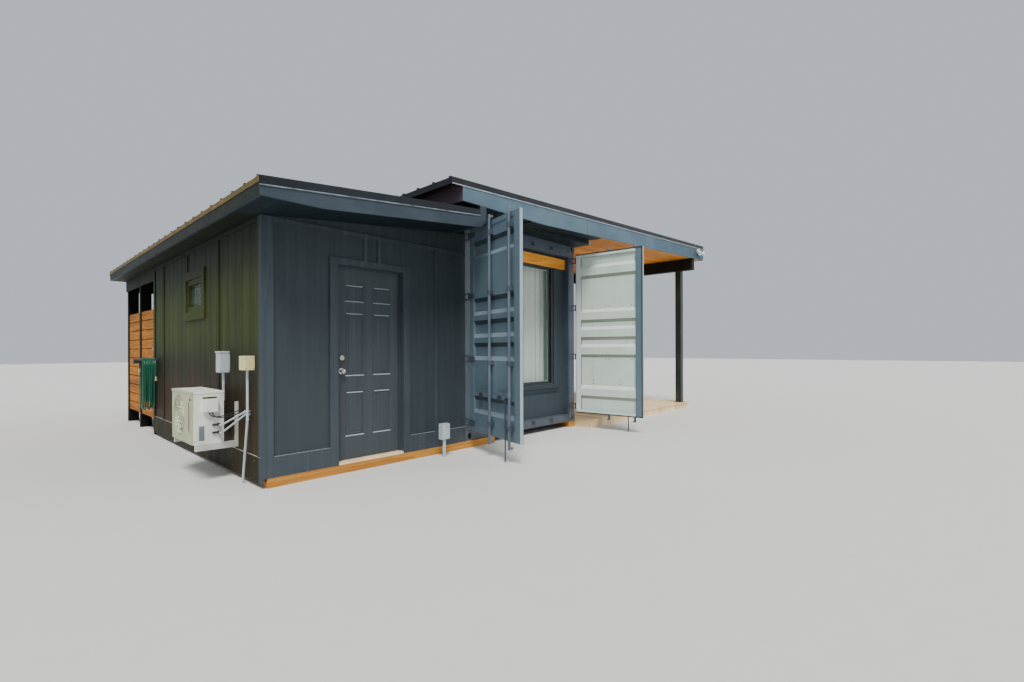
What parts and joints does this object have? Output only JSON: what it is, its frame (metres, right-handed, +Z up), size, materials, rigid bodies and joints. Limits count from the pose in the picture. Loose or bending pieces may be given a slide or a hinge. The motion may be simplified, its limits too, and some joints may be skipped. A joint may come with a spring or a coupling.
{
  "type": "shipping container cabin",
  "caption": "A shipping container cabin with open cargo doors, a dark timber annex, a slatted enclosure and a covered porch",
  "frame": {"origin": "on the ground, straight below the container's front left corner", "axes": "+X right along the front, +Y into the depth, +Z up"},
  "size_m": [9.304, 7.6789, 3.5324],
  "materials": {
    "container_steel": "blue-grey paint, faded, with rust spots",
    "door_cream": "cream paint inside the leaf",
    "dark_siding": "charcoal painted panels with green algae",
    "dark_trim": "charcoal painted boards",
    "window_vinyl": "black window frame",
    "window_glass": "clear insulating glass",
    "cedar": "oiled cedar",
    "curtain_fabric": "white woven curtain",
    "rod_metal": "dark curtain rod",
    "treated_timber": "weathered treated timber",
    "roof_metal": "dark ribbed roof sheet",
    "fascia_paint": "grey painted fascia boards",
    "roof_timber": "roof timber",
    "deck_wood": "light deck boards",
    "white_metal": "white painted metal",
    "unit_beige": "beige painted metal with green film",
    "white_plastic": "pale grey conduit and boxes",
    "hose_rubber": "green garden hose",
    "nickel": "nickel door hardware",
    "olive_vinyl": "brown olive window casing",
    "black_post": "black painted posts and beam"
  },
  "bodies": {
    "cabin": {"container_posts": "container_steel", "container_end_rails": "container_steel", "container_side_rails": "container_steel", "container_left_wall": "container_steel", "container_right_wall": "container_steel", "container_back_wall": "container_steel", "container_roof": "container_steel", "container_floor": "treated_timber", "glazed_wall": "dark_siding", "large_window_frame": "window_vinyl", "window_glass": "window_glass", "cedar_header": "cedar", "curtain_rod": "rod_metal", "curtain": "curtain_fabric", "cargo_hinge_lugs": "container_steel", "front_timber": "treated_timber", "support_timbers": "treated_timber", "annex_floor": "deck_wood", "annex_front_wall": "dark_siding", "annex_wall_head": "dark_siding", "annex_back_wall": "dark_siding", "annex_side_wall": "dark_siding", "annex_door_frame": "dark_trim", "annex_threshold": "white_metal", "annex_trim": "dark_trim", "side_window_frame": "olive_vinyl", "annex_roof_frame": "roof_timber", "annex_roof_sheet": "roof_metal", "annex_fascia": "fascia_paint", "enclosure_posts": "black_post", "enclosure_header": "dark_trim", "slat_panels": "cedar", "main_roof_frame": "roof_timber", "main_roof_sheet": "roof_metal", "main_fascia_boards": "fascia_paint", "front_soffit": "dark_trim", "porch_ceiling": "cedar", "porch_beam": "black_post", "porch_posts": "black_post", "porch_deck": "deck_wood", "floodlight": "white_metal", "air_conditioner": "unit_beige", "air_conditioner_bracket": "white_metal", "wall_services": "white_plastic", "hose_hanger": "hose_rubber", "hose_loops": "hose_rubber"},
    "left_leaf": {"left_cargo_door": "container_steel", "left_door_fittings": "container_steel"},
    "left_outer_bar_body": {"left_outer_bar": "container_steel"},
    "left_inner_bar_body": {"left_inner_bar": "container_steel"},
    "right_leaf": {"right_cargo_door": "door_cream", "right_door_fittings": "container_steel"},
    "right_outer_bar_body": {"right_outer_bar": "container_steel"},
    "right_inner_bar_body": {"right_inner_bar": "container_steel"},
    "annex_leaf": {"annex_door": "dark_siding", "annex_door_fittings": "nickel"}
  },
  "joints": [
    {"name": "left_cargo_door_hinge", "type": "hinge", "parent": "cabin", "child": "left_leaf", "pos_m": [0.036, -0.04991, 1.534], "axis": [0, 0, 1], "range_deg": [0, 104.3]},
    {"name": "right_cargo_door_hinge", "type": "hinge", "parent": "cabin", "child": "right_leaf", "pos_m": [2.402, -0.04991, 1.534], "axis": [0, 0, -1], "range_deg": [-60, 94.9]},
    {"name": "annex_door_hinge", "type": "hinge", "parent": "cabin", "child": "annex_leaf", "pos_m": [-0.9625, 0.123, 1.136], "axis": [0, 0, -1], "range_deg": [0, 90]},
    {"name": "left_outer_bar_turn", "type": "hinge", "parent": "left_leaf", "child": "left_outer_bar_body", "pos_m": [-0.14845, -0.6035, 0.765], "axis": [0, 0, 1], "range_deg": [0, 95]},
    {"name": "left_inner_bar_turn", "type": "hinge", "parent": "left_leaf", "child": "left_inner_bar_body", "pos_m": [-0.2559, -1.02502, 0.765], "axis": [0, 0, 1], "range_deg": [0, 95]},
    {"name": "right_outer_bar_turn", "type": "hinge", "parent": "right_leaf", "child": "right_outer_bar_body", "pos_m": [2.49356, -0.62619, 0.765], "axis": [0, 0, -1], "range_deg": [0, 95]},
    {"name": "right_inner_bar_turn", "type": "hinge", "parent": "right_leaf", "child": "right_inner_bar_body", "pos_m": [2.53072, -1.0596, 0.765], "axis": [0, 0, -1], "range_deg": [0, 95]}
  ]
}
